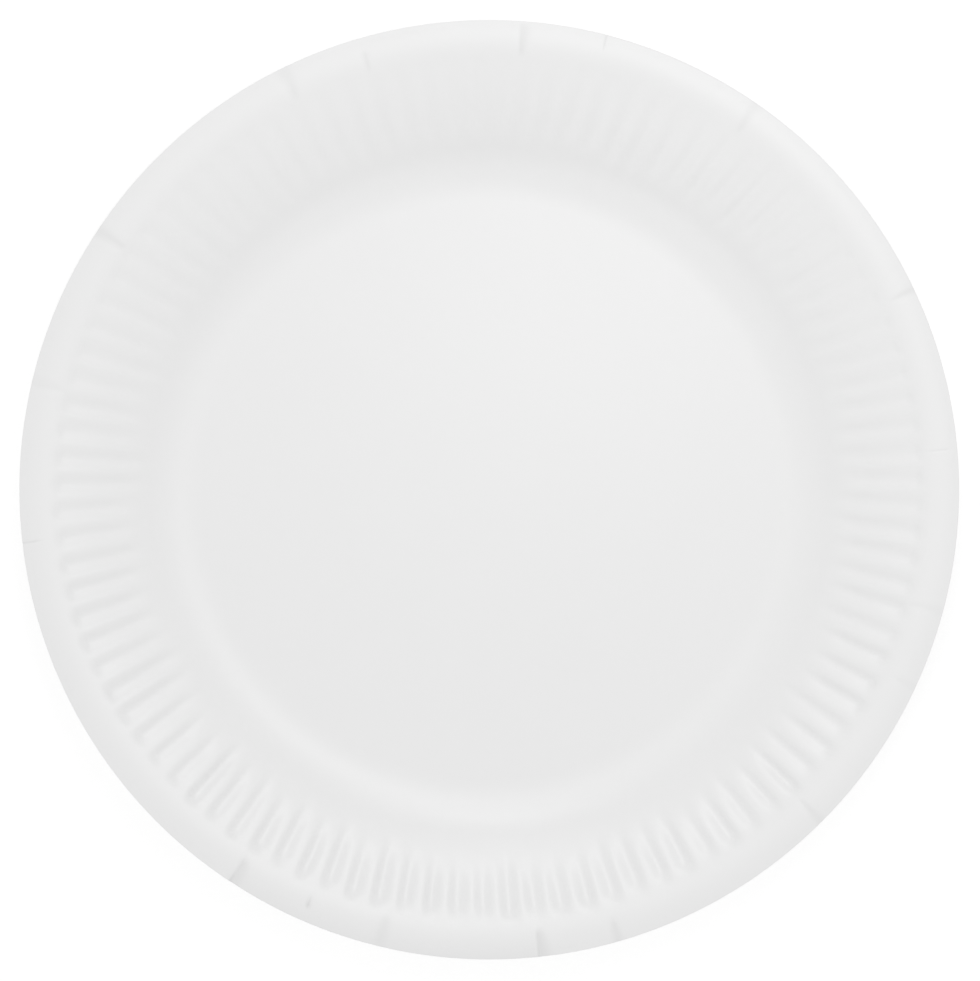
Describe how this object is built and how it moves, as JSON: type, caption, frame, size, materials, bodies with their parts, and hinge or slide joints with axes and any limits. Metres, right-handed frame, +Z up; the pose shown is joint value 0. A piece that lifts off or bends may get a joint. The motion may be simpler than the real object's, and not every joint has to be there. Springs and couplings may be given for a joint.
{
  "type": "paper plate",
  "caption": "Shallow round disposable plate pressed from one sheet of white coated board, with a flat floor, a radially fluted wall and a smooth rounded brim.",
  "frame": {"origin": "middle of the underside of the flat floor, on the surface that the plate stands on", "axes": "+Z up, out of the open side of the plate, +X to the right and +Y to the top of the picture"},
  "size_m": [0.23, 0.23, 0.017],
  "materials": {
    "coated_board": "white coated paperboard, satin"
  },
  "bodies": {
    "root": {"plate": "coated_board"}
  },
  "joints": []
}
